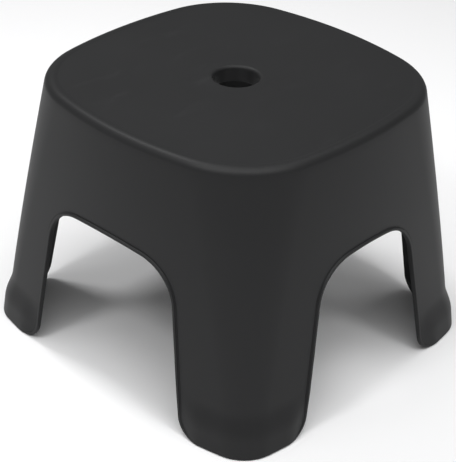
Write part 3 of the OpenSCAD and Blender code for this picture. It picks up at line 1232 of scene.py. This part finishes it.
@dataclass
class StepStool:
    """The whole stool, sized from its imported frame."""

    height: float
    bottom: float
    arch_half_x: float = 85.5
    arch_half_y: float = 75.0
    pad_w: float = 5.0
    pad_end_clear: float = 1.0
    groove_past_pad: float = 0.003

    def build(self) -> None:
        """Build every piece, dress it and tie it to the frame."""
        plan = StoolPlan(height=self.height)
        arches = (
            Arch(Wall.FACING_X, self.arch_half_y, 0.175, 139.5, self.bottom),
            Arch(Wall.FACING_Y, self.arch_half_x, 0.145, 142.5, self.bottom),
        )
        foot = Foot(plan, arches, self.bottom)
        grow = foot.out - foot.rim_t / 2
        turns = self._pad_turns(plan, grow, arches[0].leg_r)
        groove = turns[0] - self.groove_past_pad, turns[1] + self.groove_past_pad
        shell = StoolShell(plan, foot, arches, groove_turns=groove)
        plastic = MouldedPlastic(seat_z=self.height * MM).make()
        rubber = PadRubber().make()
        moulding = shell.build()
        moulding.data.materials.append(plastic)
        self._tie(moulding, "shell", "stool_shell")
        ribs = SeatRibs(shell).build(plastic)
        self._tie(ribs, "shell", "stool_shell")
        tool = None
        for corner in Corner:
            pad = FootPad(corner, plan, turns, grow, width=self.pad_w)
            tool = tool or pad.tool(rubber)
            self._tie(pad.build(tool), "pad", pad.node)

    def _pad_turns(self, plan: StoolPlan, grow: float, leg_r: float) -> Point2:
        """Return the directions faced at a pad's two ends."""
        clear = leg_r + self.pad_w / 2 + self.pad_end_clear
        low = plan.turn_at(Wall.FACING_X, self.arch_half_y + clear, 0.0)
        high = plan.turn_at(Wall.FACING_Y, self.arch_half_x + clear, 0.0)
        return low, high

    @staticmethod
    def _tie(piece: bpy.types.Object, slot: str, node: str) -> None:
        """Tie a piece to the frame's body and hide the CAD node it stands for."""
        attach(piece, "root")
        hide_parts(node)
        LOG.info("%s: %d faces, stands for %s", piece.name, len(piece.data.polygons), node)


@dataclass(frozen=True)
class SoftBox:
    """A large soft lamp, aimed at the stool."""

    name: str
    azimuth: float
    elevation: float
    distance: float
    width: float
    height: float
    power: float

    def place(self, target: Vector) -> None:
        """Add the lamp to the scene."""
        data = bpy.data.lights.new(self.name, "AREA")
        data.shape = "RECTANGLE"
        data.size, data.size_y = self.width, self.height
        data.energy = self.power
        lamp = bpy.data.objects.new(self.name, data)
        away = direction(self.azimuth, self.elevation)
        lamp.location = target + away * self.distance
        lamp.rotation_euler = away.to_track_quat("Z", "Y").to_euler()
        bpy.context.scene.collection.objects.link(lamp)


def direction(azimuth: float, elevation: float) -> Vector:
    """Return the unit vector towards a place seen at an azimuth and an elevation, in degrees."""
    turn, rise = math.radians(azimuth), math.radians(elevation)
    return Vector((math.sin(turn) * math.cos(rise), -math.cos(turn) * math.cos(rise), math.sin(rise)))


@dataclass(frozen=True)
class Studio:
    """A pale floor, soft lamps and the camera."""

    target: Vector
    azimuth: float = 42.332
    elevation: float = 30.964
    roll: float = 2.009
    distance: float = 1.24533
    lens: float = 117.725
    sensor: float = 36.0
    shift: Point2 = (-0.0080, -0.0560)
    floor_size: float = 12.0
    world_grey: float = 0.95
    world_strength: float = 0.24
    lamps: tuple[SoftBox, ...] = (
        SoftBox("key_lamp", -84.0, 60.0, 1.5, 0.3, 0.3, 7.5),
        SoftBox("rim_lamp", 168.0, 60.0, 1.5, 0.45, 0.45, 2.0),
        SoftBox("left_spot", 0.0, 52.0, 1.5, 0.25, 0.25, 4.0),
        SoftBox("right_spot", 84.0, 52.0, 1.5, 0.25, 0.25, 3.0),
        SoftBox("left_softbox", -40.0, 22.0, 1.6, 1.2, 0.9, 0.6),
        SoftBox("right_softbox", 124.0, 22.0, 1.6, 1.2, 0.9, 0.4),
        SoftBox("top_softbox", 42.0, 68.0, 2.0, 1.8, 1.8, 29.0),
    )

    def build(self) -> None:
        """Add the floor, the world, the lamps and the camera."""
        self._floor()
        self._world()
        for lamp in self.lamps:
            lamp.place(self.target)
        self._camera()

    def _floor(self) -> None:
        """Lay the floor."""
        half = self.floor_size / 2
        corners = [(-half, -half, 0), (half, -half, 0), (half, half, 0), (-half, half, 0)]
        mesh = bpy.data.meshes.new("studio_floor")
        mesh.from_pydata(corners, [], [(0, 1, 2, 3)])
        mesh.materials.append(StudioPaper().make())
        piece_from(mesh)

    def _world(self) -> None:
        """Fill the room with even pale light."""
        world = bpy.data.worlds.new("studio_room")
        world.use_nodes = True
        back = world.node_tree.nodes["Background"]
        back.inputs[0].default_value = (self.world_grey, self.world_grey, self.world_grey, 1)
        back.inputs[1].default_value = self.world_strength
        bpy.context.scene.world = world
        bpy.context.scene.view_settings.view_transform = "Standard"

    def _camera(self) -> None:
        """Set up the camera, looking down at a front corner."""
        data = bpy.data.cameras.new("studio_camera")
        data.sensor_fit = "HORIZONTAL"
        data.sensor_width = self.sensor
        data.lens = self.lens
        data.shift_x, data.shift_y = self.shift
        data.clip_start, data.clip_end = 0.05, 50.0
        back = direction(self.azimuth, self.elevation)
        right = Vector((0, 0, 1)).cross(back).normalized()
        up = back.cross(right)
        turned = Matrix((right, up, back)).transposed() @ Matrix.Rotation(math.radians(self.roll), 3, "Z")
        camera = bpy.data.objects.new("studio_camera", data)
        camera.matrix_world = Matrix.Translation(self.target + back * self.distance) @ turned.to_4x4()
        bpy.context.scene.collection.objects.link(camera)
        bpy.context.scene.camera = camera


def main() -> None:
    """Build the stool and the studio around it."""
    logging.basicConfig(level=logging.INFO, format="%(name)s: %(message)s")
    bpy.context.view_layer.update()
    shell_low, shell_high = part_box("stool_shell")
    stool = StepStool(height=shell_high[2] / MM, bottom=shell_low[2] / MM)
    stool.build()
    Studio(target=Vector((0, 0, 0.11))).build()
    bpy.context.view_layer.update()


if __name__ == "__main__":
    main()
